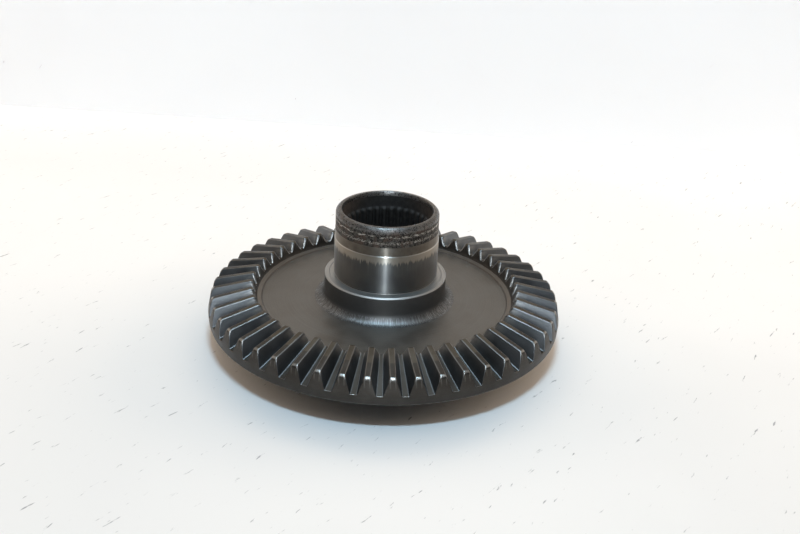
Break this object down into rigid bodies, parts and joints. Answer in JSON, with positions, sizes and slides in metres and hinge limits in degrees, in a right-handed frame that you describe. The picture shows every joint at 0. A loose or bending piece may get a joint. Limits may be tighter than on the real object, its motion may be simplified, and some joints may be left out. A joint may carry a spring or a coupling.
{
  "type": "bevel crown wheel",
  "caption": "Straight-toothed bevel crown wheel with a tall splined hub, bare bearing journal on the tooth side and a shimmed open ball bearing on the back hub.",
  "frame": {"origin": "on the wheel's axis, at the lower side face of the back bearing", "axes": "+Z along the axis, from the back bearing to the hub's free end, the way the teeth face; one tooth gap is centred on -Y"},
  "size_m": [0.1544, 0.1544, 0.0597],
  "materials": {
    "forged_steel": "dark heat-treated forging, turned web, ground journal, corroded hub end",
    "shim_steel": "rolled spring steel",
    "bearing_steel": "ground and polished",
    "cage_steel": "pressed strip steel, oiled"
  },
  "bodies": {
    "outer_ring": {"bearing_outer_ring": "bearing_steel"},
    "wheel": {"crown_wheel": "forged_steel", "backing_shim": "shim_steel", "bearing_inner_ring": "bearing_steel"},
    "ball_train": {"cage_upper": "cage_steel", "cage_lower": "cage_steel", "ball_01": "bearing_steel", "ball_02": "bearing_steel", "ball_03": "bearing_steel", "ball_04": "bearing_steel", "ball_05": "bearing_steel", "ball_06": "bearing_steel", "ball_07": "bearing_steel", "ball_08": "bearing_steel", "ball_09": "bearing_steel", "ball_10": "bearing_steel", "ball_11": "bearing_steel", "ball_12": "bearing_steel", "ball_13": "bearing_steel", "ball_14": "bearing_steel", "rivet_01": "cage_steel", "rivet_02": "cage_steel", "rivet_03": "cage_steel", "rivet_04": "cage_steel", "rivet_05": "cage_steel", "rivet_06": "cage_steel", "rivet_07": "cage_steel", "rivet_08": "cage_steel", "rivet_09": "cage_steel", "rivet_10": "cage_steel", "rivet_11": "cage_steel", "rivet_12": "cage_steel", "rivet_13": "cage_steel", "rivet_14": "cage_steel"}
  },
  "joints": [
    {"name": "wheel_spin", "type": "hinge", "parent": "outer_ring", "child": "wheel", "pos_m": [0, 0, 0.005], "axis": [0, 0, 1], "continuous": true},
    {"name": "ball_train_orbit", "type": "hinge", "parent": "outer_ring", "child": "ball_train", "pos_m": [0, 0, 0.005], "axis": [0, 0, 1], "continuous": true}
  ],
  "couplings": [
    {"joint": "ball_train_orbit", "follows": "wheel_spin", "ratio": 0.4405}
  ]
}
